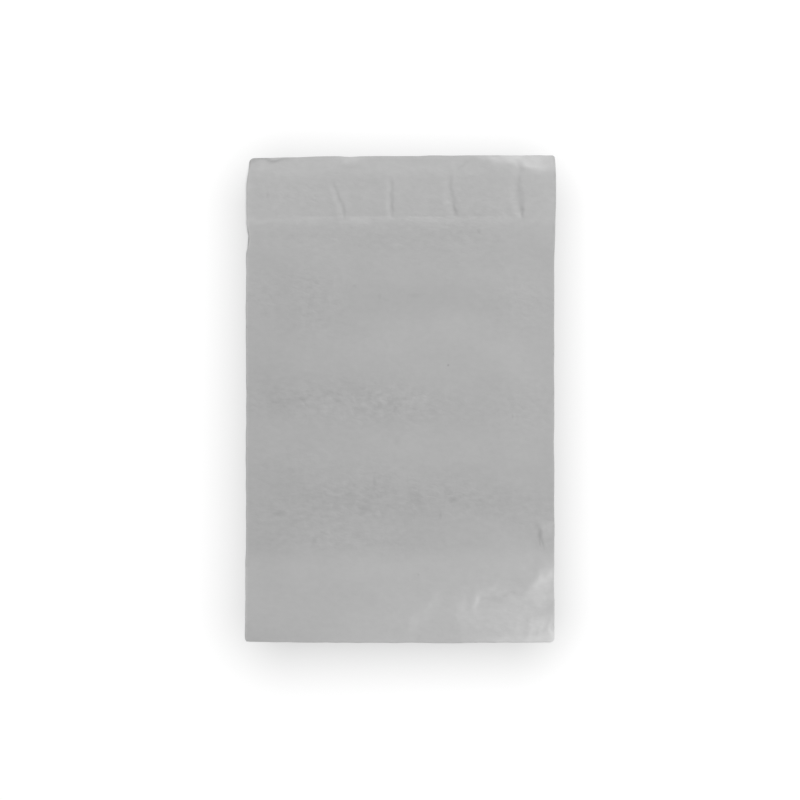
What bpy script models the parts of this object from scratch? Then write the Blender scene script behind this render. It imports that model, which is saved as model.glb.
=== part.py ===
"""Poly mailer bag: an empty, self-seal bag of grey film that lies flat on its mouth side, with its flap open.

+Z is up, +Y runs to the free edge of the flap and X across the bag. The origin is under the bag's middle,
on the surface that it lies on. All sizes are in metres.

One sheet of film is folded at the bottom and welded along both sides. The lower ply is the front and ends at
the mouth. The upper ply is the back and runs on past the mouth as the flap. A strip of adhesive is laid under
the flap, and a release liner covers it.
"""

import math
from collections import namedtuple

import bmesh
import bpy

# The sheet of film
BAG_WIDTH = 0.190
POCKET_LENGTH = 0.260
FLAP_LENGTH = 0.040
FILM = 0.00006
WELD_WIDTH = 0.0015
FOLD_RIM = 0.0008
CORNER_RADIUS = 0.003

# The seal under the flap
STRIP_FROM_MOUTH = 0.0035
STRIP_WIDTH = 0.0225
STRIP_END_INSET = 0.0006
ADHESIVE = 0.00006
LINER = 0.00006
LINER_OVERHANG = 0.001
CLEARANCE = 0.0003

# How the empty pocket has settled, with a little air in it
AIR_RISE = 0.00095
EDGE_RUN = 0.016
WAVE_HEIGHT = 0.00032
WAVE_PITCH = 0.058
WAVE_SLANT = 0.35

# How the outline departs from a rectangle: each a depth, and the length of edge that it takes
FLAP_TAPER = 0.0020
FLAP_TAPER_RUN = 0.022
FLAP_BULGE = 0.0008
MOUTH_NOTCH = 0.0010
MOUTH_NOTCH_RUN = 0.010
TOP_DIP = 0.0012
TOP_DIP_RUN = 0.060
BOTTOM_BOW = 0.0006

# The puckers over the seal, each a valley that leans towards +X on its way down.
# share is its place across as a share of half the width
Pucker = namedtuple("Pucker", "share lean half_width")
PUCKERS = (
    Pucker(-0.391, 0.0060, 0.0015),
    Pucker(-0.059, 0.0004, 0.0015),
    Pucker(0.335, 0.0034, 0.0022),
    Pucker(0.756, 0.0034, 0.0022),
)
PUCKER_DEPTH = 0.00016
PUCKER_FADE = 0.004
PUCKER_MARGIN = 0.0012

# The creases of the crushed corner, each a tent along a line between two points.
# from_side and from_end are two distances each, in from the right edge and up from the bottom fold
Crease = namedtuple("Crease", "from_side from_end height half_width")
CREASES = (
    Crease((0.056, 0.036), (0.020, 0.034), 0.00045, 0.009),
    Crease((0.030, 0.004), (0.028, 0.046), 0.00060, 0.009),
    Crease((0.086, 0.070), (0.008, 0.030), 0.00030, 0.010),
    Crease((0.022, 0.004), (0.004, 0.020), 0.00045, 0.008),
    Crease((0.012, 0.004), (0.074, 0.060), 0.00040, 0.008),
)

# The step of the grid that the plies are drawn on
GRID_PITCH = 0.0085
STRIP_ROWS = 4

FILM_GREY = (0.434, 0.434, 0.434, 1.0)
ADHESIVE_TINT = (0.72, 0.70, 0.60, 1.0)
LINER_WHITE = (0.82, 0.83, 0.84, 1.0)

HALF_WIDTH = BAG_WIDTH / 2
TOP = (POCKET_LENGTH + FLAP_LENGTH) / 2
BOTTOM = -TOP
MOUTH = BOTTOM + POCKET_LENGTH
STRIP_LOW = MOUTH + STRIP_FROM_MOUTH
STRIP_HIGH = STRIP_LOW + STRIP_WIDTH
ADHESIVE_LEVEL = LINER + CLEARANCE
SEAL_STACK = ADHESIVE_LEVEL + ADHESIVE + CLEARANCE


def clear_scene():
    """Removes what the scene holds."""
    for obj in list(bpy.data.objects):
        bpy.data.objects.remove(obj)


def ease(t):
    """A smooth step from 0 to 1 as t goes from 0 to 1."""
    t = min(1.0, max(0.0, t))
    return t * t * (3 - 2 * t)


def hump(distance, reach):
    """A smooth hump of height 1, down to zero at the reach on either side."""
    return ease(1 - abs(distance) / reach)


def rounded(distance):
    """A quarter round from 0 to 1 over the run in from a pinched edge, as a pillow's section."""
    return math.sin(math.pi / 2 * min(1.0, max(0.0, distance / EDGE_RUN)))


def corner_cut(distance):
    """How far a rounded corner takes a side in, at this distance from the end of the side."""
    rest = min(CORNER_RADIUS, max(0.0, CORNER_RADIUS - distance))
    return CORNER_RADIUS - math.sqrt(CORNER_RADIUS**2 - rest**2)


def left_edge(y):
    """X of the left edge. It tapers towards the flap's end and is drawn in where the weld starts."""
    inset = FLAP_TAPER * ease((y - TOP + FLAP_TAPER_RUN) / FLAP_TAPER_RUN)
    inset += MOUTH_NOTCH * hump(y - MOUTH + MOUTH_NOTCH_RUN, MOUTH_NOTCH_RUN)
    return -HALF_WIDTH + inset + corner_cut(y - BOTTOM) + corner_cut(TOP - y)


def right_edge(y):
    """X of the right edge. The single ply of the flap stands a little wider than the welded pocket."""
    inset = FLAP_BULGE * (1 - hump(y - MOUTH - FLAP_LENGTH / 2, FLAP_LENGTH / 2 + MOUTH_NOTCH_RUN))
    return HALF_WIDTH - inset - corner_cut(y - BOTTOM) - corner_cut(TOP - y)


def bottom_edge(x):
    """Y of the bottom fold, which sets in a little towards both corners."""
    return BOTTOM + BOTTOM_BOW * (x / HALF_WIDTH) ** 2


def top_edge(x):
    """Y of the flap's cut edge, which dips towards the left corner."""
    return TOP - TOP_DIP * ease((TOP_DIP_RUN - HALF_WIDTH - x) / TOP_DIP_RUN)


def pucker_line(pucker, y):
    """X of the bottom of a pucker's valley. It leans as it comes down over the strip and is upright beyond."""
    down = min(1.0, max(0.0, (STRIP_HIGH - y) / STRIP_WIDTH))
    return pucker.share * HALF_WIDTH + pucker.lean * (down - 0.5)


def pucker_depth(x, y):
    """How deep the puckers' valleys are here. They keep to the strip and fade just outside it."""
    along = ease((y - STRIP_LOW) / PUCKER_FADE + 1) * ease((STRIP_HIGH - y) / PUCKER_FADE + 1)
    shares = [max(0.0, 1 - abs(x - pucker_line(pucker, y)) / pucker.half_width) for pucker in PUCKERS]
    return PUCKER_DEPTH * along * max(shares)


def crease_rise(x, y):
    """Height of the creases of the crushed corner, each a tent that fades at both ends of its line."""
    rise = 0.0
    for crease in CREASES:
        start_x, end_x = (HALF_WIDTH - side for side in crease.from_side)
        start_y, end_y = (BOTTOM + end for end in crease.from_end)
        length = math.hypot(end_x - start_x, end_y - start_y)
        unit_x, unit_y = (end_x - start_x) / length, (end_y - start_y) / length
        along = (x - start_x) * unit_x + (y - start_y) * unit_y
        across = (x - start_x) * unit_y - (y - start_y) * unit_x
        fade = hump(along - length / 2, length / 2 + crease.half_width)
        rise += crease.height * fade * max(0.0, 1 - abs(across) / crease.half_width)
    return rise


def pocket_height(x, y):
    """Height of the pocket's roof over its floor: trapped air, its slanting waves, and the crushed corner."""
    side = min(x - left_edge(y), right_edge(y) - x) - WELD_WIDTH
    end = y - bottom_edge(x) - FOLD_RIM
    wave = math.cos(2 * math.pi * (y - BOTTOM - WAVE_SLANT * x) / WAVE_PITCH)
    rise = AIR_RISE + WAVE_HEIGHT * wave * ease((MOUTH - y) / EDGE_RUN) + crease_rise(x, y)
    return rise * rounded(side) * rounded(end)


def flap_height(x, y):
    """Height of the flap's underside. It lies level over the seal and droops from there to its free edge."""
    droop = ease((top_edge(x) - y) / (TOP - STRIP_HIGH))
    return (SEAL_STACK + PUCKER_DEPTH) * droop - pucker_depth(x, y)


def back_height(x, y):
    """Height of the back ply's underside, which steps from the pocket down to the flap just past the mouth."""
    pocket = FILM + pocket_height(x, y)
    return pocket + (flap_height(x, y) - pocket) * ease((y - MOUTH) / STRIP_FROM_MOUTH)


def spaced(start, end, pitch):
    """Evenly spaced places from start up to, but without, end, no further apart than the pitch."""
    count = max(1, math.ceil((end - start) / pitch))
    return [start + (end - start) * step / count for step in range(count)]


def upright(x):
    """A column of the grid at one x."""
    return lambda y: x


def leaning(pucker, offset):
    """A column of the grid that follows a pucker."""
    return lambda y: pucker_line(pucker, y) + offset


def level(y):
    """A row of the grid at one y."""
    return lambda x: y


def column_lines():
    """The grid's columns, left to right, each giving x at a y: both edges of either weld, even steps between,
    and three columns to each pucker."""
    inner = HALF_WIDTH - 2 * WELD_WIDTH - CORNER_RADIUS - FLAP_TAPER - MOUTH_NOTCH
    lines = [left_edge, lambda y: left_edge(y) + WELD_WIDTH]
    start = -inner
    for pucker in PUCKERS:
        middle = pucker.share * HALF_WIDTH
        reach = abs(pucker.lean) / 2 + pucker.half_width + PUCKER_MARGIN
        lines += [upright(x) for x in spaced(start, middle - reach, GRID_PITCH)]
        lines += [leaning(pucker, side * pucker.half_width) for side in (-1, 0, 1)]
        start = middle + reach
    lines += [upright(x) for x in spaced(start, inner, GRID_PITCH)]
    lines += [upright(inner), lambda y: right_edge(y) - WELD_WIDTH, right_edge]
    return lines


def row_lines():
    """The grid's rows, bottom to top, each giving y at an x, and the index of the mouth's row."""
    pocket = spaced(BOTTOM + CORNER_RADIUS, MOUTH, GRID_PITCH)
    step = spaced(MOUTH, STRIP_LOW, STRIP_FROM_MOUTH / 2)
    strip = spaced(STRIP_LOW, STRIP_HIGH, STRIP_WIDTH / STRIP_ROWS)
    margin = spaced(STRIP_HIGH, TOP - TOP_DIP - CORNER_RADIUS, GRID_PITCH / 2)
    lines = [bottom_edge, lambda x: bottom_edge(x) + FOLD_RIM]
    lines += [level(y) for y in pocket + step + strip + margin]
    lines += [lambda x: top_edge(x) - CORNER_RADIUS, lambda x: top_edge(x) - CORNER_RADIUS / 4, top_edge]
    return lines, 2 + len(pocket)


def grid_places():
    """The (x, y) of each crossing of the grid, row by row, and the index of the mouth's row."""
    columns = column_lines()
    rows, mouth = row_lines()
    places = [[(column(row(0.0)), row(column(row(0.0)))) for column in columns] for row in rows]
    return places, mouth


def add_cells(bm, layer, rows, columns):
    """Fills the cells of a layer, each cut in two along the diagonal that runs up and towards the middle.

    In the pocket's bottom corners this diagonal keeps the roof off the floor.
    """
    middle = len(layer[-1]) // 2
    for j in rows:
        for i in columns:
            low_left, low_right = layer[j][i], layer[j][i + 1]
            high_left, high_right = layer[j + 1][i], layer[j + 1][i + 1]
            if i < middle:
                bm.faces.new((low_left, low_right, high_right))
                bm.faces.new((low_left, high_right, high_left))
            else:
                bm.faces.new((low_left, low_right, high_left))
                bm.faces.new((low_right, high_right, high_left))


def add_band(bm, upper, lower):
    """Joins two lines of vertices of the same length with a band of faces."""
    for k in range(len(upper) - 1):
        bm.faces.new((upper[k], upper[k + 1], lower[k + 1], lower[k]))


def add_fan(bm, apex, line, far_corner):
    """Fills from one apex to each stretch of a line, and then to the corner across from the apex."""
    rim = line + [far_corner]
    for near, far in zip(rim, rim[1:]):
        bm.faces.new((apex, near, far))


def add_flat(bm, layer, first, last, left, right):
    """Fills a level area between two rows and two columns: faces right across it, and a fan at either end."""
    add_fan(bm, layer[first + 1][left], layer[first][left:right + 1], layer[first + 1][right])
    add_fan(bm, layer[last - 1][left], layer[last][left:right + 1], layer[last - 1][right])
    for j in range(first + 1, last - 1):
        bm.faces.new((layer[j][left], layer[j][right], layer[j + 1][right], layer[j + 1][left]))


def add_side(bm, top, under, base, mouth, column):
    """The cut edge down one side: both plies up to the mouth, where the lower one stops, and the flap alone."""
    upper, lower = [line[column] for line in top], [line[column] for line in base]
    add_band(bm, upper[:mouth], lower[:mouth])
    lip = under[mouth][column]
    bm.faces.new((lower[mouth - 1], lower[mouth], lip, upper[mouth - 1]))
    bm.faces.new((upper[mouth - 1], lip, upper[mouth]))
    add_band(bm, upper[mouth:], [line[column] for line in under[mouth:]])


def film_pouch(material):
    """The folded sheet as one solid, with the pocket between its plies open at the mouth.

    Four layers of vertices stand on one grid: the top and the underside of the back ply, the floor of the pocket
    and the base that the bag lies on. Along the welds and the fold the roof of the pocket is pinched down to its
    floor, and both share their vertices.
    """
    places, mouth = grid_places()
    last_row, last = len(places) - 1, len(places[0]) - 1
    top, under, floor, base = ([[None] * (last + 1) for _ in places] for _ in range(4))
    bm = bmesh.new()
    for j, line in enumerate(places):
        for i, (x, y) in enumerate(line):
            welded = j <= mouth and (j <= 1 or i <= 1 or i >= last - 1)
            in_pocket = 1 <= j <= mouth and 1 <= i <= last - 1
            height = FILM if welded else back_height(x, y)
            top[j][i] = bm.verts.new((x, y, height + FILM))
            if in_pocket or j >= mouth:
                under[j][i] = bm.verts.new((x, y, height))
            if in_pocket and welded:
                floor[j][i] = under[j][i]
            elif in_pocket and j == mouth:
                floor[j][i] = bm.verts.new((x, y, FILM))
            if j in (0, mouth) or (j < mouth and i in (0, last)):
                base[j][i] = bm.verts.new((x, y, 0.0))

    add_cells(bm, top, range(last_row), range(last))
    add_cells(bm, under, range(1, mouth), range(1, last - 1))
    add_cells(bm, under, range(mouth, last_row), range(last))
    add_flat(bm, floor, 1, mouth, 1, last - 1)
    add_flat(bm, base, 0, mouth, 0, last)
    add_side(bm, top, under, base, mouth, 0)
    add_side(bm, top, under, base, mouth, last)
    add_band(bm, top[0], base[0])
    add_band(bm, top[last_row], under[last_row])
    add_band(bm, [under[mouth][0]] + floor[mouth][1:last] + [under[mouth][last]], base[mouth])
    return shell_object("film_pouch", bm, material)


def tape(name, low, high, level_z, thickness, material):
    """A flat tape across the flap, from low to high along Y, that stops short of the flap's sides."""
    half_length = HALF_WIDTH - FLAP_TAPER - STRIP_END_INSET
    bm = bmesh.new()
    bmesh.ops.create_cube(bm, size=1.0)
    bmesh.ops.scale(bm, verts=bm.verts, vec=(2 * half_length, high - low, thickness))
    bmesh.ops.translate(bm, verts=bm.verts, vec=(0.0, (low + high) / 2, level_z + thickness / 2))
    return shell_object(name, bm, material)


def shell_object(name, bm, material):
    """Makes a closed shell into an object, with its faces turned outwards."""
    bmesh.ops.recalc_face_normals(bm, faces=bm.faces)
    mesh = bpy.data.meshes.new(name)
    bm.to_mesh(mesh)
    bm.free()
    mesh.shade_smooth()
    mesh.set_sharp_from_angle(angle=math.radians(30))
    mesh.materials.append(material)
    obj = bpy.data.objects.new(name, mesh)
    bpy.context.scene.collection.objects.link(obj)
    return obj


def principled(name, colour, roughness):
    """A plain material of one colour and roughness."""
    material = bpy.data.materials.new(name)
    material.use_nodes = True
    shader = material.node_tree.nodes["Principled BSDF"]
    shader.inputs["Base Color"].default_value = colour
    shader.inputs["Roughness"].default_value = roughness
    shader.inputs["Metallic"].default_value = 0.0
    return material


def build():
    """Builds the bag, its adhesive and the liner over it."""
    clear_scene()
    film_pouch(principled("grey_film", FILM_GREY, 0.4))
    tape("adhesive_strip", STRIP_LOW, STRIP_HIGH, ADHESIVE_LEVEL, ADHESIVE,
         principled("clear_adhesive", ADHESIVE_TINT, 0.3))
    tape("release_liner", STRIP_LOW - LINER_OVERHANG, STRIP_HIGH + LINER_OVERHANG, 0.0, LINER,
         principled("white_liner", LINER_WHITE, 0.5))


build()
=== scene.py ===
"""The looks of the poly mailer bag: its creased film, its welds, the seal under its flap, and the studio.

The bag lies on its mouth side. Its plain back is up and its flap runs on to +Y, unsealed. All sizes are in
metres and in the frame's own axes. The film is one folded sheet: rows of points follow it from the front
ply's lip, down the front, round the bottom fold and up the back to the flap's cut edge, and columns run
across it.
"""

from collections import namedtuple

import bpy
import numpy as np
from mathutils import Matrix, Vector


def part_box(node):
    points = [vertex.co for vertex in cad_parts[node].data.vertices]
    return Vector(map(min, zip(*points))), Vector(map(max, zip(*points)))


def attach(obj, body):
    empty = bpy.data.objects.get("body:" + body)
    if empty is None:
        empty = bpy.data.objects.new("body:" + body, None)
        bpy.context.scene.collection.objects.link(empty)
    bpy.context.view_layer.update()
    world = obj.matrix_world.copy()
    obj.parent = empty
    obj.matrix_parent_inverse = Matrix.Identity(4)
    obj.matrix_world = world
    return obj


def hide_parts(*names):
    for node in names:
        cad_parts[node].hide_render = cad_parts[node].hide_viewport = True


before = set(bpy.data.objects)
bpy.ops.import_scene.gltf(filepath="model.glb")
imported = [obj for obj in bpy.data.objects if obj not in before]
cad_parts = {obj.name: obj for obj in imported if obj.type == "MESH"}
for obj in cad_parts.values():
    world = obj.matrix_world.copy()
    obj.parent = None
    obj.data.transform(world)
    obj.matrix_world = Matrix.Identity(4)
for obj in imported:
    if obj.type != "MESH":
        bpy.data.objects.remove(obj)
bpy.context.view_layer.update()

# The bag's own places, from the frame
BAG_LOW, BAG_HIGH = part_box("film_pouch")
ADHESIVE_LOW, ADHESIVE_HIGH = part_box("adhesive_strip")
LINER_LOW, LINER_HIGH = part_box("release_liner")
HALF_WIDTH = (BAG_HIGH.x - BAG_LOW.x) / 2
BOTTOM, TOP = BAG_LOW.y, BAG_HIGH.y
FLAP_LENGTH = 0.040
MOUTH = TOP - FLAP_LENGTH
FILM = 0.00006

# How the outline departs from a rectangle, and the pixels of the photograph where it does
CORNER_RADIUS = 0.003
TIGHT_CORNER_RADIUS = 0.0016
FLAP_TAPER = 0.0020
FLAP_TAPER_RUN = 0.0205
FLAP_BULGE = 0.0012
FLAP_BULGE_PX = 197
FLAP_BULGE_RUN = 0.038
POCKET_INSET = 0.0006
POCKET_SPREAD = 0.00014
MOUTH_NOTCH = 0.0016
MOUTH_NOTCH_RUN = 0.0108
TOP_DIP = 0.0013
TOP_DIP_RUN = 0.060
TOP_BITE = 0.0005
TOP_BITE_PX = 350
TOP_BITE_RUN = 0.009
TOP_STEP = 0.0004
TOP_STEP_PX = 430
FOLD_BULGE = 0.0005
FOLD_BULGE_PX = 548
BOTTOM_BOW = 0.0006
RIGHT_BOW_SHARE = 0.6
EDGE_STRAY = 0.00009
CUT_STRAY = EDGE_STRAY / 2

# The pocket and the flap, as they have settled
WELD_WIDTH = 0.0012
WELD_HEIGHT = 0.00014
WELD_LAP = 0.0001
WELD_RIPPLE = 0.10
EDGE_RUN = 0.034
AIR_RISE = 0.00095
FOLD_RADIUS = 0.00005
FOLD_REACH = FOLD_RADIUS + FILM / 2
FOLD_BLEND = 0.002
STEP_BEFORE = 0.0075
STEP_RUN = 0.0100
STEP_POWER = 2.5
MOUTH_GAPE = 0.00012
GAPE_RUN = 0.050
SWELL_HEIGHT = 0.00042
SWELL_LENGTH = 0.058
SWELL_PEAK_PX = 471
SWELL_UNEVENNESS = 0.00010
FRONT_LIFT = 0.00008
FRONT_LIFT_MEAN = 0.2
FRONT_LIFT_SPREAD = 0.5
FLAP_LEVEL = 0.00080
FLAP_SAG = 0.00026
FLAP_SAG_RUN = 0.020
SIDE_LIFT = 0.00052
SIDE_LIFT_RUN = 0.030

# The fine crinkles: their heights, the share of coarse ones, and how fast they rise from the edges
COARSE_CRINKLE = 0.00006
SMALL_CRINKLE = 0.000025
SMALL_CRINKLE_MEAN = 0.3
CRINKLED_SHARE = 0.35
CRINKLE_RUN = 0.003
CRINKLE_GAIN = 3

# The shortest and the longest wave of each random unevenness
EDGE_WAVES = (0.012, 0.060)
CREASE_WAVES = (0.006, 0.024)
CRINKLED_AREA_WAVES = (0.020, 0.060)
COARSE_CRINKLE_WAVES = (0.007, 0.020)
SMALL_CRINKLE_WAVES = (0.004, 0.008)
SWELL_WAVES = (0.030, 0.080)
FRONT_LIFT_WAVES = (0.020, 0.050)
PUCKER_LINE_WAVES = (0.006, 0.020)
PUCKER_SIDE_WAVES = (0.004, 0.012)
GREY_WAVES = (0.010, 0.040)
WELD_WAVES = (0.003, 0.015)
TAPE_WAVES = (0.008, 0.050)

# How far in a tape's long edges lie, as a share of the distance that they may wander
TAPE_MEAN = 0.5
TAPE_SPREAD = 0.4

# The grid of the sheet
FINE_PITCH = 0.0006
FINE_BAND = 0.0020
PUCKER_BAND = 0.0028
PLAIN_PITCH = 0.0020
CREASED_PITCH = 0.0010
CREASED_FROM_X = 0.025
CREASED_LENGTH = 0.062
FLAP_PITCH = 0.0013
FRONT_PITCH = 0.0090
FINE_BEFORE_MOUTH = 0.002
FINE_PAST_STEP = 0.001
FOLD_ROWS = 5
CORNER_ROWS = 8
WELD_SIDES = 16
SHARP_DEGREES = 35

# The photograph's frame: the bag's width and middle in its pixels, and how long a pixel is on the table
BAG_WIDTH_PX = 308.6
MIDDLE_PX = (400.75, 399.1)
FRAME_PX = 800
PIXEL = 2 * HALF_WIDTH / BAG_WIDTH_PX


def at_px(px, py):
    """The place on the table that a pixel of the photograph shows."""
    return (px - MIDDLE_PX[0]) * PIXEL, (MIDDLE_PX[1] - py) * PIXEL


def ease(t):
    """A smooth step: 3t^2 - 2t^3, held at 0 and 1 beyond its ends."""
    t = np.clip(t, 0.0, 1.0)
    return t * t * (3 - 2 * t)


def hump(distance, reach):
    """A smooth hump of height 1 that is down to zero at the reach on either side."""
    return ease(1 - np.abs(distance) / reach)


# Shape of the outline


def corner_cut(distance, radius=CORNER_RADIUS):
    """How far a round corner takes a side in: r - sqrt(r^2 - (r - distance)^2) within the radius r."""
    rest = np.clip(radius - distance, 0.0, radius)
    return radius - np.sqrt(radius**2 - rest**2)


def unevenness(along, stray, seed):
    """How a cut or folded edge wanders off its line, by about the distance given."""
    return stray * ripples(along, 0 * along, EDGE_WAVES, seed, count=12)


def left_edge(y):
    """X of the left edge: it tapers to the flap's end, is drawn in where the weld starts, and stands out a
    little along the pocket and more so near the fold."""
    inset = FLAP_TAPER * ease((y - TOP + FLAP_TAPER_RUN) / FLAP_TAPER_RUN)
    inset = inset + MOUTH_NOTCH * hump(y - MOUTH + MOUTH_NOTCH_RUN, MOUTH_NOTCH_RUN)
    inset = inset - FOLD_BULGE * ease((at_px(0, FOLD_BULGE_PX)[1] - y) / MOUTH_NOTCH_RUN)
    inset = inset - POCKET_SPREAD * ease((MOUTH - MOUTH_NOTCH_RUN - y) / MOUTH_NOTCH_RUN)
    corners = corner_cut(y - BOTTOM) + corner_cut(TOP - y)
    return -HALF_WIDTH + inset + unevenness(y, EDGE_STRAY, seed=5) + corners


def right_edge(y):
    """X of the right edge: the single ply of the flap stands a little wider than the welded pocket, and its
    corner is tighter than the other three."""
    inset = POCKET_INSET - FLAP_BULGE * hump(y - at_px(0, FLAP_BULGE_PX)[1], FLAP_BULGE_RUN)
    corners = corner_cut(y - BOTTOM) + corner_cut(TOP - y, TIGHT_CORNER_RADIUS)
    return HALF_WIDTH - inset + unevenness(y, EDGE_STRAY, seed=6) - corners


def bottom_edge(x):
    """Y of the bottom fold: it sets in by the square of the way to a corner, and less to the right one."""
    bow = BOTTOM_BOW * np.where(x < 0, 1.0, RIGHT_BOW_SHARE) * (x / HALF_WIDTH) ** 2
    return BOTTOM + bow + unevenness(x, EDGE_STRAY, seed=7)


def top_edge(x):
    """Y of the flap's cut edge, which steps down leftwards a little right of its middle, dips towards the
    left corner and has a shallow bite where it was cut."""
    dip = TOP_DIP * ease((TOP_DIP_RUN - HALF_WIDTH - x) / TOP_DIP_RUN)
    bite = TOP_BITE * hump(x - at_px(TOP_BITE_PX, 0)[0], TOP_BITE_RUN)
    step = TOP_STEP * ease((at_px(TOP_STEP_PX, 0)[0] - x) / TOP_BITE_RUN)
    return TOP - dip - bite - step + unevenness(x, CUT_STRAY, seed=8)


# Relief of the film


# A pucker is a valley between two points of the film, given in pixels of the photograph. Its line bows
# sideways by some pixels, and its sides fall over the two runs, left and right
Pucker = namedtuple("Pucker", "top bottom bow left right depth")
PUCKERS = (
    Pucker((333.5, 187), (343.0, 211), 0.0, 0.0044, 0.0022, 0.00028),
    Pucker((390.0, 185), (390.8, 210), 0.0, 0.0036, 0.0025, 0.00036),
    Pucker((449.3, 179), (454.3, 210), -1.4, 0.0056, 0.0032, 0.00037),
    Pucker((519.0, 171), (520.8, 211), -3.4, 0.0054, 0.0040, 0.00048),
)
PUCKER_RISE = 0.00014
PUCKER_RISE_RUN = 0.0085
PUCKER_FADE = 0.0060
PUCKER_TOP_SHARE = 0.65
PUCKER_WANDER = 0.00018
PUCKER_UNEVENNESS = 0.2
PUCKER_SEED = 91

# A crease is a line on the film, between two pixels of the photograph. The film climbs to it over one
# distance and falls from it over another: before is on the left of the line as it runs from start to end,
# and after is on its right
Crease = namedtuple("Crease", "start end height before after")
CREASE_ROUNDING = 0.10
CREASE_WANDER = 0.0007
CREASE_POWER = 1.5
CORNER_CREASES = (
    Crease((522, 591), (556, 560), 0.00130, 0.020, 0.0090),
    Crease((470, 612), (479, 593), 0.00050, 0.0060, 0.0030),
    Crease((478, 598), (498, 587), 0.00035, 0.0080, 0.0035),
    Crease((466, 648), (457, 604), 0.00050, 0.028, 0.014),
    Crease((490, 596), (530, 602), 0.00040, 0.008, 0.012),
    Crease((520, 606), (556, 588), 0.00060, 0.008, 0.0060),
    Crease((525, 644), (538, 616), 0.00030, 0.005, 0.0026),
    Crease((536, 638), (548, 612), 0.00026, 0.004, 0.0040),
    Crease((547, 648), (553, 616), 0.00030, 0.004, 0.0030),
    Crease((506, 640), (520, 618), 0.00030, 0.004, 0.0040),
    Crease((418, 618), (442, 588), 0.00030, 0.008, 0.0045),
    Crease((403, 636), (414, 612), 0.00030, 0.007, 0.0045),
    Crease((536.5, 522), (545, 549), 0.00060, 0.0080, 0.0018),
    Crease((542, 534), (556, 522), 0.00040, 0.0040, 0.0040),
)
FLAP_CREASES = (
    Crease((470, 158), (560, 172), 0.00080, 0.010, 0.0160),
    Crease((340, 164), (362, 162), 0.00022, 0.005, 0.0060),
    Crease((246, 178), (268, 163), 0.00030, 0.005, 0.0060),
)


def crease_rise(x, y, crease, wander):
    """A tent whose rounded ridge is the crease: height * (1 - distance / run)^power on either side, highest
    in the middle of its length and faded to both ends. The line is shifted sideways by the wander."""
    (start_x, start_y), (end_x, end_y) = at_px(*crease.start), at_px(*crease.end)
    length = np.hypot(end_x - start_x, end_y - start_y)
    unit_x, unit_y = (end_x - start_x) / length, (end_y - start_y) / length
    along = (x - start_x) * unit_x + (y - start_y) * unit_y
    right = (x - start_x) * unit_y - (y - start_y) * unit_x + wander
    side = np.where(right > 0, right / crease.after, -right / crease.before)
    side = np.hypot(side, CREASE_ROUNDING) - CREASE_ROUNDING
    fade = hump(along - length / 2, length / 2 + max(crease.before, crease.after) / 2)
    return crease.height * fade * np.clip(1 - side, 0.0, 1.0) ** CREASE_POWER


def creased(x, y, creases):
    """Several creases together, whose lines wander a little."""
    wander = CREASE_WANDER * ripples(x, y, CREASE_WAVES, seed=17, count=16)
    return sum(crease_rise(x, y, crease, wander) for crease in creases)


def ripples(x, y, lengths, seed, stretch=1.0, count=48):
    """A random relief of about unit size: the sum of plane waves at all angles, whose lengths lie between
    the two given, drawn out along X by the stretch."""
    shortest, longest = np.log(lengths)
    random = np.random.default_rng(seed)
    total = np.zeros_like(x)
    for _ in range(count):
        angle, phase = random.uniform(0, 2 * np.pi, 2)
        number = 2 * np.pi / np.exp(random.uniform(shortest, longest))
        total += np.cos(number * (x * np.cos(angle) / stretch + y * np.sin(angle)) + phase)
    return total / np.sqrt(count / 2)


def crinkles(x, y, seed):
    """The fine relief of handled film: sharp ridges where a random relief crosses zero, in uneven patches.
    The small ones are fainter, and are found between the patches too."""
    patches = ease(CRINKLED_SHARE * (1 + ripples(x, y, CRINKLED_AREA_WAVES, seed, stretch=1.3)))
    coarse = np.maximum(1 - np.abs(ripples(x, y, COARSE_CRINKLE_WAVES, seed + 1, stretch=1.6)), 0.0)
    small = np.maximum(1 - np.abs(ripples(x, y, SMALL_CRINKLE_WAVES, seed + 2, stretch=1.5)), 0.0)
    return COARSE_CRINKLE * patches * coarse + SMALL_CRINKLE * (SMALL_CRINKLE_MEAN + patches) * small


def waves(x, y):
    """The broad undulation of the back ply: low swells that run across the bag, and a random unevenness."""
    swells = SWELL_HEIGHT * np.cos(2 * np.pi * (y - at_px(0, SWELL_PEAK_PX)[1]) / SWELL_LENGTH)
    return swells + SWELL_UNEVENNESS * ripples(x, y, SWELL_WAVES, seed=11, stretch=1.5)


def pucker_drop(x, y):
    """The valleys across the seal strip: each is a smooth valley in a low broad rise, deepest at its lower
    end. Its line bows by 4 bow t (1 - t) and wanders, its right side is uneven, and both ends fade out."""
    drop = np.zeros_like(x)
    for pucker in PUCKERS:
        (top_x, top_y), (low_x, low_y) = at_px(*pucker.top), at_px(*pucker.bottom)
        down = np.clip((top_y - y) / (top_y - low_y), 0.0, 1.0)
        seed = PUCKER_SEED + round(pucker.top[0])
        line = top_x + (low_x - top_x) * down + 4 * pucker.bow * PIXEL * down * (1 - down)
        line = line + PUCKER_WANDER * ripples(0 * x, y, PUCKER_LINE_WAVES, seed, count=8)
        uneven = PUCKER_UNEVENNESS * ripples(0 * x, y, PUCKER_SIDE_WAVES, seed + 1, count=8)
        right = pucker.right * (1 + uneven)
        fade = ease((y - low_y) / PUCKER_FADE + 1) * ease((top_y - y) / PUCKER_FADE + 1)
        along = fade * (PUCKER_TOP_SHARE + (1 - PUCKER_TOP_SHARE) * down)
        offset = x - line
        valley = ease(1 - np.where(offset < 0, -offset / pucker.left, offset / right))
        drop += along * (pucker.depth * valley - PUCKER_RISE * hump(offset, PUCKER_RISE_RUN))
    return drop


def side_distance(x, y):
    """How far a place lies in from the nearer side of the bag."""
    return np.minimum(x - left_edge(y), right_edge(y) - x)


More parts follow.
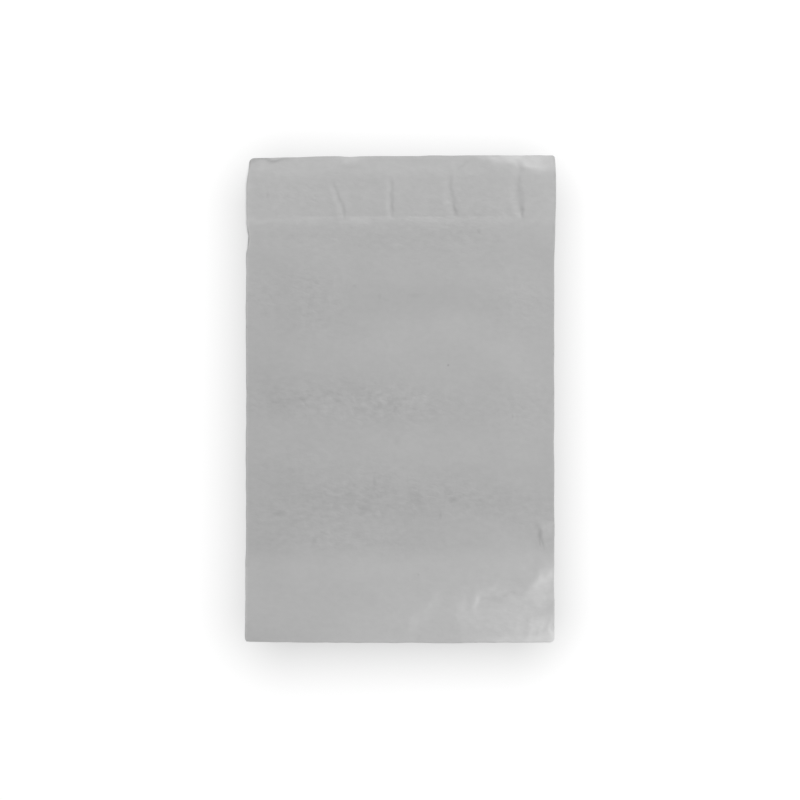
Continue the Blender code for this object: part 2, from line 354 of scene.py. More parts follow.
def freedom(x, y):
    """How free the plies are of each other: 0 along the welds and the fold, 1 well inside the pocket."""
    return ease((side_distance(x, y) - WELD_WIDTH) / EDGE_RUN) * ease((y - bottom_edge(x)) / EDGE_RUN)


def side_lift(x, y):
    """How far both plies stand off the table together: at the welded sides as they near the mouth, where the
    seal strip props the flap, and in the creases of the lower right corner."""
    near_side = 1 - ease(side_distance(x, y) / SIDE_LIFT_RUN)
    return SIDE_LIFT * near_side * ease((y - MOUTH) / SIDE_LIFT_RUN + 1) + creased(x, y, CORNER_CREASES)


def back_height(x, y):
    """Height of the back ply's mid surface: it lies on the front ply along the welds, rises over the
    pocket's air with waves and crinkles, falls ever more steeply to the flap at the mouth, and droops to the
    flap's end."""
    from_side = side_distance(x, y)
    from_fold = y - bottom_edge(x)
    spread = FOLD_RADIUS * 2 - FILM
    seam = 1.5 * FILM + spread * (1 - ease(from_fold / FOLD_BLEND))
    gape = MOUTH_GAPE * ease((y - MOUTH) / GAPE_RUN + 1)
    air = AIR_RISE + waves(x, y) * ease((MOUTH - y) / EDGE_RUN) + gape
    inside = ease((from_side - WELD_WIDTH) / CRINKLE_RUN) * ease(from_fold / CRINKLE_RUN)
    pocket = seam + air * freedom(x, y) + crinkles(x, y, seed=21) * inside + side_lift(x, y)

    droop = ease((top_edge(x) - y) / (TOP - ADHESIVE_HIGH.y))
    sag = FLAP_SAG * (1 - ease(from_side / FLAP_SAG_RUN))
    flap = FILM / 2 + (FLAP_LEVEL - sag) * droop - pucker_drop(x, y) + creased(x, y, FLAP_CREASES)
    flap = flap + crinkles(x, y, seed=31) * ease(droop * CRINKLE_GAIN)
    step = np.clip((y - MOUTH + STEP_BEFORE) / STEP_RUN, 0.0, 1.0) ** STEP_POWER
    return pocket + (flap - pocket) * step


def front_height(x, y):
    """Height of the front ply's mid surface, which lies on the table but for the lifted sides and corner and
    a few low crinkles."""
    lifted = FRONT_LIFT_MEAN + FRONT_LIFT_SPREAD * ripples(x, y, FRONT_LIFT_WAVES, seed=41, stretch=1.5)
    relief = FRONT_LIFT * ease(lifted) + crinkles(x, y, seed=43)
    return FILM / 2 + relief * freedom(x, y) + side_lift(x, y)


# Greys of the film, with painted light and shade, and how far they run. The lighter and darker ones are
# shares of the film's own grey
FILM_GREY = 0.42
FLAP_LIGHTER = 0.04
FLAP_GREY_BEFORE = 0.006
FLAP_GREY_RUN = 0.010
# Painted light: the film is made paler towards the fold, as if lit more there
FOLD_PAINTED_LIGHT = 0.10
FOLD_LIGHT_PX = 542
FOLD_LIGHT_RUN = 0.016
# Painted highlight: a light line along the flap's cut edge, where the film droops towards the light
CUT_EDGE_HIGHLIGHT = 0.08
CUT_HIGHLIGHT_RUN = 0.0028
# Painted shade: a dark line along the fold
FOLD_PAINTED_SHADE = 0.05
FOLD_SHADE_RUN = 0.0014
BLOWN_STREAKS = 0.006
WELD_LIGHTER = 0.06

# Light and dark lines in the film, as creases whose height is a share of its grey. They are painted
# highlights and painted shade: on the facets of the creases, and along the mouth, the cut edge, the left
# side and the puckers. Like the lists below, this one goes from the flap's end to the fold
PAINTED_LIGHT_AND_SHADE_LINES = (
    Crease((462, 156), (576, 157), 0.145, 0.0030, 0.0036),
    Crease((400, 157.6), (510, 157.4), 0.030, 0.0014, 0.0018),
    Crease((332, 158), (368, 157), 0.10, 0.0020, 0.0030),
    Crease((234, 161), (300, 158.4), -0.31, 0.0014, 0.0022),
    Crease((453, 171), (474, 158), -0.075, 0.0022, 0.0022),
    Crease((522, 165), (550, 167), 0.04, 0.0030, 0.0036),
    Crease((444.2, 162), (446.6, 216), 0.020, 0.0018, 0.0018),
    Crease((387.8, 164), (388.4, 224), 0.020, 0.0016, 0.0016),
    Crease((249, 300), (249, 110), 0.040, 0.0030, 0.0034),
    Crease((300, 219), (326, 219), 0.040, 0.0018, 0.0022),
    Crease((190, 220), (345, 219), 0.060, 0.0022, 0.0030),
    Crease((500, 221), (580, 220), 0.030, 0.0020, 0.0032),
    Crease((338, 221), (388, 221), 0.065, 0.0018, 0.0026),
    Crease((230, 221.5), (290, 221.5), 0.030, 0.0018, 0.0024),
    Crease((542, 530), (554, 526), 0.05, 0.0030, 0.0030),
    Crease((534, 520), (545, 550), -0.10, 0.0018, 0.0014),
    Crease((540, 540), (556, 536), -0.06, 0.0024, 0.0024),
    Crease((526, 598), (562, 562), 0.24, 0.0062, 0.0085),
    Crease((474, 600), (500, 586), 0.07, 0.0045, 0.0030),
    Crease((478, 604), (530, 589), -0.08, 0.0026, 0.0034),
    Crease((519, 600), (564, 594), 0.05, 0.0030, 0.0050),
    Crease((475, 611), (481, 591), 0.105, 0.0038, 0.0024),
    Crease((541, 616), (560, 600), -0.09, 0.0035, 0.0045),
    Crease((404, 640), (444, 588), 0.060, 0.0060, 0.0060),
    Crease((463, 640), (455, 600), 0.045, 0.0008, 0.0200),
    Crease((537, 642), (544, 610), 0.17, 0.0034, 0.0034),
    Crease((525, 643), (537, 617), 0.12, 0.0026, 0.0026),
    Crease((549, 652), (553, 612), 0.18, 0.0026, 0.0034),
    Crease((412, 641), (426, 634), -0.05, 0.0020, 0.0020),
    Crease((518, 641), (556, 636), 0.12, 0.0040, 0.0040),
    Crease((484, 641), (518, 639), 0.05, 0.0030, 0.0022),
    Crease((452, 641), (620, 640), 0.115, 0.0055, 0.0040),
)


# A patch of the film: its middle, its half sizes across and along the bag in pixels, and its strength
Patch = namedtuple("Patch", "middle across along strength")

# Patches where the film is lighter or darker, by a share of its grey: painted highlights and painted shade
# of its relief, at the puckers, the flap's upper right corner, the bands across the pocket and the crumpled
# lower right corner, together with some uneven tone
TONE_AND_PAINTED_SHADING = (
    Patch((545, 159), 10, 5, 0.066),
    Patch((290, 160), 60, 6, 0.026),
    Patch((342, 160), 18, 5, 0.044),
    Patch((503, 161), 9, 9, 0.030),
    Patch((526, 164.5), 9, 4, -0.045),
    Patch((440, 165), 62, 9, -0.044),
    Patch((258, 169), 7, 8, 0.030),
    Patch((252, 173), 9, 5, 0.026),
    Patch((530, 174), 34, 14, 0.040),
    Patch((335, 182), 30, 12, 0.014),
    Patch((509, 182), 5, 11, 0.020),
    Patch((250, 188), 6, 7, 0.022),
    Patch((521, 189), 4.5, 9, -0.030),
    Patch((255, 197), 65, 54, 0.050),
    Patch((550, 200), 7, 14, 0.022),
    Patch((521.5, 206), 2.5, 7, -0.050),
    Patch((512, 207), 4, 8, -0.020),
    Patch((523, 207), 2.5, 8, -0.020),
    Patch((344.5, 208), 2.0, 5, -0.045),
    Patch((455, 213), 2.6, 8, -0.045),
    Patch((470, 214), 28, 8, -0.040),
    Patch((518, 215), 6, 5, -0.055),
    Patch((414, 216.8), 36, 2.6, -0.022),
    Patch((494, 217.3), 18, 3, -0.020),
    Patch((538, 217.5), 16, 3.5, 0.018),
    Patch((358, 220.5), 11, 3, 0.042),
    Patch((254, 223), 20, 8, 0.024),
    Patch((470, 223), 14, 5, -0.018),
    Patch((318, 226), 46, 6, 0.034),
    Patch((385, 230), 8, 6, 0.028),
    Patch((550, 236), 10, 14, 0.030),
    Patch((298, 246), 34, 7, 0.035),
    Patch((503, 258), 70, 17, -0.030),
    Patch((420, 268), 110, 9, -0.028),
    Patch((498, 279), 16, 10, -0.020),
    Patch((258, 285), 36, 60, 0.026),
    Patch((538, 300), 30, 26, -0.032),
    Patch((455, 321), 62, 12, 0.042),
    Patch((517, 352), 20, 14, -0.022),
    Patch((306, 398), 46, 13, -0.030),
    Patch((262, 440), 36, 20, 0.028),
    Patch((279, 460), 16, 14, 0.022),
    Patch((534, 484), 32, 40, -0.026),
    Patch((453, 489), 10, 7, -0.045),
    Patch((400, 502), 170, 12, -0.026),
    Patch((432, 505), 30, 10, -0.022),
    Patch((304, 520), 28, 11, -0.028),
    Patch((546, 530), 10, 6, 0.040),
    Patch((459, 558), 18, 10, 0.018),
    Patch((540, 564), 9, 8, -0.044),
    Patch((549, 575), 7, 7, 0.040),
    Patch((301, 578), 22, 16, 0.022),
    Patch((533, 602), 6, 6, 0.020),
    Patch((515, 606), 10, 8, 0.028),
    Patch((505, 606), 46, 22, 0.045),
    Patch((465, 607), 9, 8, 0.042),
    Patch((541, 615), 7, 6, -0.050),
    Patch((411, 620), 62, 34, 0.056),
    Patch((541.5, 624), 6, 4, 0.045),
    Patch((512, 631), 22, 9, 0.040),
    Patch((552, 637), 8, 8, 0.085),
    Patch((551, 637), 4, 7, 0.045),
    Patch((511, 639), 13, 4, 0.036),
    Patch((566, 640), 84, 56, 0.210),
    Patch((398, 641), 56, 8, 0.035),
    Patch((252, 646), 48, 20, -0.070),
)


def patch_cover(x, y, patch):
    """How much of a patch is felt at a place: strength * exp(-(distance over half size)^2)."""
    middle_x, middle_y = at_px(*patch.middle)
    across = (x - middle_x) / (patch.across * PIXEL)
    along = (y - middle_y) / (patch.along * PIXEL)
    return patch.strength * np.exp(-across**2 - along**2)


def film_grey(x, y):
    """How much of the light the film returns: a little more on the flap, painted light towards the fold, a
    painted highlight along its cut edge and painted shade along the fold, faint streaks, as it was blown,
    and patches and crease lines of painted light and shade, with some uneven tone."""
    broad = FLAP_LIGHTER * ease((y - MOUTH + FLAP_GREY_BEFORE) / FLAP_GREY_RUN)
    # Painted light towards the fold, a painted highlight along the cut edge and painted shade along the fold
    broad = broad + FOLD_PAINTED_LIGHT * ease((at_px(0, FOLD_LIGHT_PX)[1] - y) / FOLD_LIGHT_RUN)
    cut = CUT_EDGE_HIGHLIGHT * hump(top_edge(x) - y, CUT_HIGHLIGHT_RUN)
    fold_shade = FOLD_PAINTED_SHADE * hump(y - bottom_edge(x), FOLD_SHADE_RUN)
    blown = BLOWN_STREAKS * ripples(x, y, GREY_WAVES, seed=51, stretch=2.5)
    # Patches of painted light and shade, with some uneven tone
    tone_and_shading = sum(patch_cover(x, y, patch) for patch in TONE_AND_PAINTED_SHADING)
    # Lines of painted highlight and painted shade along the creases, the mouth and the puckers
    painted_lines = creased(x, y, PAINTED_LIGHT_AND_SHADE_LINES)
    return FILM_GREY * (1 + broad + cut - fold_shade + blown + tone_and_shading + painted_lines)


# How much the film has been handled everywhere, and where it has been handled more
HANDLED_LEAST = 0.20
HANDLED = (
    Patch((300, 195), 60, 20, 0.4),
    Patch((470, 200), 70, 20, 0.35),
    Patch((440, 236), 60, 22, 0.45),
    Patch((330, 236), 60, 16, 0.4),
    Patch((262, 295), 20, 22, 0.5),
    Patch((312, 300), 28, 32, 0.8),
    Patch((522, 300), 25, 22, 0.6),
    Patch((320, 400), 75, 18, 1.0),
    Patch((390, 405), 40, 18, 0.9),
    Patch((520, 405), 30, 20, 0.6),
    Patch((430, 405), 45, 14, 0.5),
    Patch((285, 460), 44, 22, 0.35),
    Patch((365, 495), 60, 28, 1.0),
    Patch((460, 495), 55, 18, 0.8),
    Patch((290, 515), 50, 20, 0.6),
    Patch((525, 515), 40, 20, 0.4),
    Patch((345, 540), 80, 13, 0.6),
    Patch((510, 612), 50, 32, 0.4),
)


def film_handled(x, y):
    """How crinkled the film is in the small: its least, and what each patch adds to it."""
    return HANDLED_LEAST + sum(patch_cover(x, y, patch) for patch in HANDLED)


# Meshes


def steps(start, *stretches):
    """Places along a line from its start, in stretches that each give their end and their pitch."""
    places = [np.array([start])]
    for end, pitch in stretches:
        count = max(1, int(np.ceil(abs(end - places[-1][-1]) / pitch)))
        places.append(np.linspace(places[-1][-1], end, count + 1)[1:])
    return np.concatenate(places)


def closed_sheet(middle, thickness):
    """Vertices and faces of a sheet around a grid of mid points: each side is half the thickness along the
    normal, which is the cross product of the grid's two tangents, and a rim of faces joins the sides."""
    across = np.gradient(middle, axis=1)
    along = np.gradient(middle, axis=0)
    normal = np.cross(across, along)
    normal /= np.linalg.norm(normal, axis=2, keepdims=True)
    rows, columns = middle.shape[:2]
    outer = middle + normal * thickness / 2
    inner = middle - normal * thickness / 2
    points = np.concatenate([outer.reshape(-1, 3), inner.reshape(-1, 3)])
    index = np.arange(rows * columns).reshape(rows, columns)
    cells = np.stack([index[:-1, :-1], index[:-1, 1:], index[1:, 1:], index[1:, :-1]], axis=-1)
    cells = cells.reshape(-1, 4)
    rim = np.concatenate([index[0, :-1], index[:-1, -1], index[-1, :0:-1], index[:0:-1, 0]])
    ahead = np.roll(rim, -1)
    under = rows * columns
    walls = np.stack([rim, rim + under, ahead + under, ahead], axis=-1)
    return points, np.concatenate([cells, cells[:, ::-1] + under, walls])


def closed_tube(rings):
    """Vertices and faces of a tube through a grid of rings, with a fan of faces to a middle point at each
    end."""
    count, sides = rings.shape[:2]
    points = np.concatenate([rings.reshape(-1, 3), [rings[0].mean(axis=0), rings[-1].mean(axis=0)]])
    index = np.arange(count * sides).reshape(count, sides)
    ahead = np.roll(index, -1, axis=1)
    walls = np.stack([index[:-1], index[1:], ahead[1:], ahead[:-1]], axis=-1).reshape(-1, 4)
    start = np.stack([index[0], ahead[0], np.full(sides, count * sides)], axis=-1)
    end = np.stack([ahead[-1], index[-1], np.full(sides, count * sides + 1)], axis=-1)
    return points, walls.tolist() + start.tolist() + end.tolist()


def add_piece(name, points, faces, material, slot, *nodes):
    """A smooth-shaded piece with sharp rims, which rides on the bag and stands for the nodes given."""
    mesh = bpy.data.meshes.new(name)
    mesh.from_pydata(points, [], faces)
    mesh.shade_smooth()
    mesh.set_sharp_from_angle(angle=np.radians(SHARP_DEGREES))
    mesh.materials.append(material)
    piece = bpy.data.objects.new(name, mesh)
    bpy.context.collection.objects.link(piece)
    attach(piece, "root")
    if nodes:
        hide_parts(*nodes)
    return piece


def column_places():
    """Where the sheet's columns lie across the bag: close together at its sides and over the puckers."""
    stretches = [(FINE_BAND - HALF_WIDTH, FINE_PITCH)]
    for pucker in PUCKERS:
        ends = at_px(*pucker.top)[0], at_px(*pucker.bottom)[0]
        pitch = CREASED_PITCH if min(ends) > CREASED_FROM_X else PLAIN_PITCH
        stretches.append((min(ends) - PUCKER_BAND, pitch))
        stretches.append((max(ends) + PUCKER_BAND, FINE_PITCH))
    stretches.append((HALF_WIDTH - FINE_BAND, CREASED_PITCH))
    stretches.append((HALF_WIDTH, FINE_PITCH))
    return steps(-HALF_WIDTH, *stretches)


def corner_rows():
    """Distances from a bag's end at which rows follow its round corners: r (1 - cos) at even angles."""
    return CORNER_RADIUS * (1 - np.cos(np.linspace(0, np.pi / 2, CORNER_ROWS + 1)))


def film_sheet():
    """The mid surface of the folded film, as rows of points: the front ply, the fold's half circle, and the
    back ply."""
    across = (column_places() + HALF_WIDTH) / (2 * HALF_WIDTH)
    corner = corner_rows()
    corner[0] = FOLD_REACH
    front = steps(MOUTH, (BOTTOM + CORNER_RADIUS, FRONT_PITCH))
    front = np.concatenate([front, BOTTOM + corner[-2::-1]])
    back = steps(BOTTOM + CORNER_RADIUS, (BOTTOM + CREASED_LENGTH, CREASED_PITCH),
                 (MOUTH - FINE_BEFORE_MOUTH, PLAIN_PITCH), (MOUTH + STEP_RUN + FINE_PAST_STEP, FINE_PITCH),
                 (TOP - CORNER_RADIUS, FLAP_PITCH))
    back = np.concatenate([BOTTOM + corner[:-1], back, TOP - corner_rows()[-2::-1]])

    def ply(rows, end_line, end, height):
        """A ply's mid points: its rows are spread between the fold and its end line, its columns between the
        side edges."""
        down = rows[:, None] + 0 * across
        x = left_edge(down) + (right_edge(down) - left_edge(down)) * across
        share = (down - BOTTOM) / (end - BOTTOM)
        y = bottom_edge(x) + share * (end_line(x) - bottom_edge(x))
        return np.stack([x, y, height(x, y)], axis=-1)

    front = ply(front, lambda x: MOUTH + 0 * x, MOUTH, front_height)
    back = ply(back, top_edge, TOP, back_height)
    angle = np.linspace(-np.pi / 2, np.pi / 2, FOLD_ROWS + 2)[1:-1, None]
    middle = (front[-1] + back[0]) / 2
    radius = (back[0, :, 2] - front[-1, :, 2]) / 2
    fold = np.stack([middle[:, 0] + 0 * angle, middle[:, 1] - FOLD_RADIUS * np.cos(angle),
                     middle[:, 2] + radius * np.sin(angle)], axis=-1)
    return np.concatenate([front, fold, back])


def keep_film_looks(piece, points, lighter=1.0):
    """Keeps the film's grey, made lighter by the factor given, and how much it is handled, at the points."""
    x, y = points[:, 0], points[:, 1]
    for name, look in (("grey", film_grey(x, y) * lighter), ("handled", film_handled(x, y))):
        attribute = piece.data.attributes.new(name, "FLOAT", "POINT")
        attribute.data.foreach_set("value", look.astype(np.float32))


def make_film(material):
    """The bag's film."""
    points, faces = closed_sheet(film_sheet(), FILM)
    keep_film_looks(add_piece("mailer_film", points, faces, material, "grey_film", "film_pouch"), points)


def make_welds(material):
    """The beads of melted film that close both sides: tubes of superelliptic section, whose points are the
    square roots of cosine and sine times the half sizes, rippled along their length by the sealing wire."""
    y = steps(BOTTOM + CORNER_RADIUS / 4, (BOTTOM + CORNER_RADIUS, FINE_PITCH), (MOUTH, CREASED_PITCH))
    y = y[:, None]
    angle = np.linspace(0, 2 * np.pi, WELD_SIDES, endpoint=False)
    wide, high = np.cos(angle), np.sin(angle)
    for name, edge, inward in (("left_weld", left_edge, 1), ("right_weld", right_edge, -1)):
        swell = 1 + WELD_RIPPLE * ripples(y, 0 * y, WELD_WAVES, seed=61)
        middle = edge(y) + inward * (WELD_WIDTH / 2 - WELD_LAP)
        x = middle + WELD_WIDTH / 2 * np.sign(wide) * np.sqrt(np.abs(wide))
        z = WELD_HEIGHT / 2 * swell * (1 + np.sign(high) * np.sqrt(np.abs(high)))
        z = side_lift(middle, y) + z
        rings = np.stack([x, y + 0 * x, z], axis=-1)
        points, faces = closed_tube(rings)
        keep_film_looks(add_piece(name, points, faces, material, "grey_film"), points, 1 + WELD_LIGHTER)


def make_tape(name, low, high, pitch, wander, seed, material, slot, node):
    """A flat tape in a node's own box, whose long edges wander inwards at random, up to the distance
    given."""
    x = steps(low.x, (high.x, pitch))
    share = np.linspace(0, 1, 1 + int((high.y - low.y) / pitch))[:, None]
    near = low.y + wander * ease(TAPE_MEAN + TAPE_SPREAD * ripples(x, 0 * x, TAPE_WAVES, seed))
    far = high.y - wander * ease(TAPE_MEAN + TAPE_SPREAD * ripples(x, 0 * x, TAPE_WAVES, seed + 1))
    y = near + (far - near) * share
    middle = np.stack([x + 0 * y, y, 0 * y + (low.z + high.z) / 2], axis=-1)
    points, faces = closed_sheet(middle, high.z - low.z)
    return add_piece(name, points, faces, material, slot, node)


# Materials


class Value:
    """A number that changes over a surface. Arithmetic on it adds Math nodes to its graph."""

    def __init__(self, graph, socket):
        self.graph = graph
        self.socket = socket

    def __add__(self, other):
        return self.graph.math("ADD", self, other)

    def __sub__(self, other):
        return self.graph.math("SUBTRACT", self, other)

    def __rsub__(self, other):
        return self.graph.math("SUBTRACT", other, self)

    def __mul__(self, other):
        return self.graph.math("MULTIPLY", self, other)

    def __truediv__(self, other):
        return self.graph.math("DIVIDE", self, other)

    def __rtruediv__(self, other):
        return self.graph.math("DIVIDE", other, self)

    def __pow__(self, other):
        return self.graph.math("POWER", self, other)

    def __abs__(self):
        return self.graph.math("ABSOLUTE", self)

    __radd__ = __add__
    __rmul__ = __mul__


class Graph:
    """A node tree, and the one way in which nodes are added to it."""

    def __init__(self, tree):
        self.tree = tree

    def fill(self, socket, value):
        """Links a value to a socket, or sets the socket to a plain number, vector or colour."""
        if isinstance(value, Value):
            self.tree.links.new(value.socket, socket)
        else:
            socket.default_value = value

    def node(self, kind, settings, sockets, output=0):
        """Adds a node, with its settings first and then its sockets, and returns one of its outputs."""
        node = self.tree.nodes.new(kind)
        for name, setting in settings.items():
            setattr(node, name, setting)
        for name, value in sockets.items():
            self.fill(node.inputs[name], value)
        return Value(self, node.outputs[output])

    def math(self, operation, *values):
        """A Math node on one or more values."""
        return self.node("ShaderNodeMath", {"operation": operation}, dict(enumerate(values)))

    def mix(self, share, first, second):
        """A colour between two others, by the share of the second."""
        return self.node("ShaderNodeMix", {"data_type": "RGBA"}, {0: share, 6: first, 7: second}, 2)

    def place(self):
        """The point's own place, in the piece's axes."""
        return self.node("ShaderNodeTexCoord", {}, {}, "Object")

    def noise(self, size, detail, stretch=1.0):
        """Fractal noise from 0 to 1 with features of about the size given, drawn out along X."""
        scale = (1 / (size * stretch), 1 / size, 1 / size)
        place = self.node("ShaderNodeMapping", {}, {"Vector": self.place(), "Scale": scale})
        return self.node("ShaderNodeTexNoise", {}, {"Vector": place, "Scale": 1.0, "Detail": detail}, "Fac")

    def spot(self, mark):
        """1 in the middle of a mark, down to 0 at its half sizes."""
        scale = (1 / (mark.across * PIXEL), 1 / (mark.along * PIXEL), 0.0)
        middle_x, middle_y = at_px(*mark.middle)
        shift = (-middle_x * scale[0], -middle_y * scale[1], 0.0)
        sockets = {"Vector": self.place(), "Location": shift, "Scale": scale}
        offset = self.node("ShaderNodeMapping", {}, sockets)
        distance = self.node("ShaderNodeVectorMath", {"operation": "LENGTH"}, {0: offset}, "Value")
        return self.math("MAXIMUM", 1 - distance, 0.0)


def new_material(name, constants):
    """A material whose Principled shader has the constants given, with its graph."""
    material = bpy.data.materials.new(name)
    material.use_nodes = True
    graph = Graph(material.node_tree)
    shader = material.node_tree.nodes["Principled BSDF"]
    for socket, value in constants.items():
        shader.inputs[socket].default_value = value
    return material, graph, shader.inputs


BLACK = (0.0, 0.0, 0.0, 1.0)
WHITE = (1.0, 1.0, 1.0, 1.0)

# Dark spots on the film: specks and scuffs, and short lines of painted shade along its sides at the flap and
# where the left weld starts. Each has its middle as a pixel of the photograph, its half sizes in pixels, and
# the share of the grey that it takes away
Mark = namedtuple("Mark", "middle across along depth")
SPECKS_AND_PAINTED_EDGE_SHADE = (
    Mark((249.8, 163.5), 1.8, 7, 0.19),
    Mark((554.4, 175), 1.6, 6, 0.07),
    Mark((267.8, 195.5), 2.6, 5.0, 0.10),
    Mark((277, 214), 4.0, 2.6, 0.06),
    Mark((553.6, 229), 1.6, 7, 0.08),
    Mark((478.8, 231.7), 3.0, 4.0, 0.11),
    Mark((248.4, 237.5), 1.3, 11, 0.34),
    Mark((354.5, 286), 3, 2.2, 0.09),
    Mark((414, 295.5), 10, 4, 0.06),
    Mark((379.5, 296.5), 2.6, 4, 0.08),
    Mark((448.2, 365.2), 1.6, 1.6, 0.30),
    Mark((370, 397), 4, 14, 0.07),
    Mark((298, 399.5), 14, 3, 0.08),
    Mark((358, 411), 7, 5, 0.08),
    Mark((512.5, 416.5), 1.8, 3.0, 0.13),
    Mark((397, 441), 5, 6, 0.07),
    Mark((374.5, 482), 2.6, 11, 0.07),
    Mark((453, 500), 6, 4, 0.14),
    Mark((419, 501), 8, 5, 0.08),
    Mark((365, 509.5), 8, 6, 0.12),
    Mark((280, 513.5), 8, 4, 0.09),
    Mark((440.5, 515.5), 2.0, 4.0, 0.13),
    Mark((314.5, 540), 3.5, 5.5, 0.10),
    Mark((418.5, 574.5), 1.8, 1.8, 0.13),
)


# The fine look of the three materials: how strong the film's mottling and bumps are, the roughnesses and
# what noise adds to them, and the colours that noise moves between
MOTTLE = 0.20
MOTTLE_LEAST = 0.3
CRINKLE_BUMP = 4.0
GRAIN_BUMP = 0.04
FILM_ROUGHNESS = 0.34
FILM_ROUGHNESS_SPREAD = 0.08
ADHESIVE_ROUGHNESS = 0.10
ADHESIVE_ROUGHNESS_SPREAD = 0.12
ADHESIVE_DARK = (0.66, 0.64, 0.54, 1.0)
ADHESIVE_LIGHT = (0.78, 0.76, 0.67, 1.0)
LINER_ROUGHNESS = 0.42
LINER_ROUGHNESS_SPREAD = 0.12
LINER_DARK = (0.79, 0.80, 0.81, 1.0)
LINER_LIGHT = (0.85, 0.86, 0.87, 1.0)


def film_material():
    """Satin grey polyethylene: the grey of the sheet, with its painted light and shade, faint mottling,
    specks, scuffs and short lines of painted shade at its sides, and a soft sheen that the film's fine
    crinkles and grain break up."""
    material, graph, shader = new_material("grey_film_finish", {"IOR": 1.51})
    grey = graph.node("ShaderNodeAttribute", {"attribute_name": "grey"}, {}, "Fac")
    handled = graph.node("ShaderNodeAttribute", {"attribute_name": "handled"}, {}, "Fac")
    mottle = (graph.noise(size=0.0030, detail=3.0, stretch=1.6) - 0.5) * (MOTTLE_LEAST + handled)
    tone = grey * (1 + mottle * MOTTLE)
    # Specks and scuffs, and short lines of painted shade along the sides
    for mark in SPECKS_AND_PAINTED_EDGE_SHADE:
        tone = tone * (1 - graph.spot(mark) * mark.depth)
    graph.fill(shader["Base Color"], graph.mix(tone, BLACK, WHITE))
    patchy = graph.noise(size=0.006, detail=3.0)
    graph.fill(shader["Roughness"], FILM_ROUGHNESS + patchy * FILM_ROUGHNESS_SPREAD)
    crinkle = abs(graph.noise(size=0.0048, detail=2.0, stretch=1.7) - 0.5) * handled
    grain = graph.noise(size=0.0009, detail=2.0)
    height = crinkle * CRINKLE_BUMP + grain * GRAIN_BUMP
    bump = graph.node("ShaderNodeBump", {}, {"Strength": 1.0, "Distance": 0.0001, "Height": height})
    graph.fill(shader["Normal"], bump)
    return material


def adhesive_material():
    """Clear tacky adhesive on the film: glossy, a little yellow, and uneven where it was laid."""
    material, graph, shader = new_material("clear_adhesive_finish", {"IOR": 1.48})
    streak = graph.noise(size=0.004, detail=3.0, stretch=4)
    graph.fill(shader["Base Color"], graph.mix(streak, ADHESIVE_DARK, ADHESIVE_LIGHT))
    graph.fill(shader["Roughness"], ADHESIVE_ROUGHNESS + streak * ADHESIVE_ROUGHNESS_SPREAD)
    bump = graph.node("ShaderNodeBump", {}, {"Strength": 0.4, "Distance": 0.0001, "Height": streak})
    graph.fill(shader["Normal"], bump)
    return material


def liner_material():
    """Coated white release paper: faint fibres under a soft shine."""
    material, graph, shader = new_material("white_liner_finish", {"IOR": 1.5})
    fibre = graph.noise(size=0.0012, detail=4.0, stretch=3)
    graph.fill(shader["Base Color"], graph.mix(fibre, LINER_DARK, LINER_LIGHT))
    graph.fill(shader["Roughness"], LINER_ROUGHNESS + fibre * LINER_ROUGHNESS_SPREAD)
    bump = graph.node("ShaderNodeBump", {}, {"Strength": 0.2, "Distance": 0.00004, "Height": fibre})
    graph.fill(shader["Normal"], bump)
    return material


# Studio


# The shade around the bag: how far it reaches out of a rectangle, the rectangle's half sizes and its middle,
# as measured in the photograph's pixels, and how dark it is and how it falls off
HALO_REACH = 130 * PIXEL
HALO_HALF = (106.5 * PIXEL, 194 * PIXEL)
HALO_MIDDLE_Y = at_px(0, 409)[1]
HALO_DEPTH = 0.68
HALO_POWER = 2.0

# The floor and the light: half the floor's side, its height, its white, its glow near the bag and how the
# glow grows with the square of the distance, and the grey of the world
FLOOR_HALF = 6.0
FLOOR_LEVEL = -0.00005
FLOOR_WHITE = 0.62
FLOOR_GLOW = 0.50
FAR_GLOW = 0.30
WORLD_GREY = (0.28, 0.28, 0.28, 1.0)


def seen_directly(graph):
    """1 where a ray comes from the camera, a reflection or a clear body, and 0 where it lights the bag."""
    total = 0.0
    for output in ("Is Camera Ray", "Is Glossy Ray", "Is Transmission Ray"):
        total = total + graph.node("ShaderNodeLightPath", {}, {}, output)
    return graph.math("MINIMUM", total, 1.0)


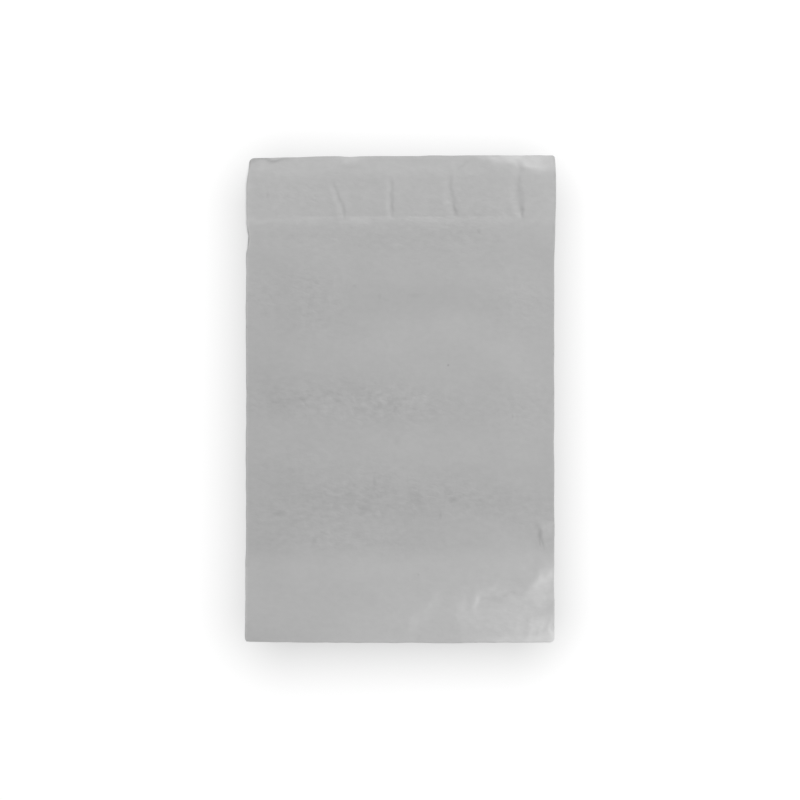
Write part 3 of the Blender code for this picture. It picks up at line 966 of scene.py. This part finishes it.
def make_floor():
    """A white table that darkens softly around the bag, mostly below it, as in the photograph: the shade is
    (1 - distance / reach)^power of the distance from a rectangle smaller than the bag."""
    material, graph, shader = new_material("floor_finish", {"Roughness": 0.9, "Emission Strength": 1.0})
    x = graph.node("ShaderNodeSeparateXYZ", {}, {"Vector": graph.place()}, "X")
    y = graph.node("ShaderNodeSeparateXYZ", {}, {"Vector": graph.place()}, "Y")
    sideways = graph.math("MAXIMUM", abs(x) - HALO_HALF[0], 0.0)
    lengthways = graph.math("MAXIMUM", abs(y - HALO_MIDDLE_Y) - HALO_HALF[1], 0.0)
    distance = (sideways * sideways + lengthways * lengthways) ** 0.5
    shade = graph.math("MAXIMUM", 1 - distance / HALO_REACH, 0.0) ** HALO_POWER * HALO_DEPTH
    graph.fill(shader["Base Color"], graph.mix((1 - shade) * FLOOR_WHITE, BLACK, WHITE))
    glow = FLOOR_GLOW + graph.math("MINIMUM", distance * distance * FAR_GLOW, 1.0)
    seen = (1 - shade) * seen_directly(graph) * glow
    graph.fill(shader["Emission Color"], graph.mix(seen, BLACK, WHITE))
    mesh = bpy.data.meshes.new("floor")
    signs = [(-1, -1), (1, -1), (1, 1), (-1, 1)]
    corners = [(right * FLOOR_HALF, ahead * FLOOR_HALF, FLOOR_LEVEL) for right, ahead in signs]
    mesh.from_pydata(corners, [], [(0, 1, 2, 3)])
    mesh.materials.append(material)
    floor = bpy.data.objects.new("floor", mesh)
    bpy.context.collection.objects.link(floor)


def make_world():
    """Soft light from all round, seen as white."""
    world = bpy.data.worlds.new("studio")
    world.use_nodes = True
    bpy.context.scene.world = world
    graph = Graph(world.node_tree)
    background = world.node_tree.nodes["Background"].inputs
    graph.fill(background["Color"], graph.mix(seen_directly(graph), WORLD_GREY, WHITE))


def make_lamp(name, place, size, watts):
    """A square lamp that faces the bag."""
    data = bpy.data.lights.new(name, "AREA")
    data.size = size
    data.energy = watts
    lamp = bpy.data.objects.new(name, data)
    lamp.location = place
    lamp.rotation_euler = Vector(place).to_track_quat("Z", "Y").to_euler()
    bpy.context.collection.objects.link(lamp)


def make_camera():
    """A camera straight above the bag, whose frame takes in the photograph's width at the table."""
    data = bpy.data.cameras.new("camera")
    data.lens = 100
    data.sensor_width = 36
    camera = bpy.data.objects.new("camera", data)
    middle = at_px(FRAME_PX / 2, FRAME_PX / 2)
    camera.location = (*middle, FRAME_PX * PIXEL * data.lens / data.sensor_width)
    bpy.context.collection.objects.link(camera)
    bpy.context.scene.camera = camera


film = film_material()
make_film(film)
make_welds(film)
make_tape("seal_adhesive", ADHESIVE_LOW, ADHESIVE_HIGH, pitch=0.002, wander=0.0003, seed=71,
          material=adhesive_material(), slot="clear_adhesive", node="adhesive_strip")
make_tape("liner_tape", LINER_LOW, LINER_HIGH, pitch=0.003, wander=0.00005, seed=81,
          material=liner_material(), slot="white_liner", node="release_liner")
make_floor()
make_world()
make_lamp("key_lamp", (0.62, 1.75, 2.6), size=1.2, watts=56)
make_lamp("side_lamp", (1.5, -0.5, 1.35), size=0.8, watts=14.5)
make_camera()
bpy.context.scene.view_settings.view_transform = "Standard"
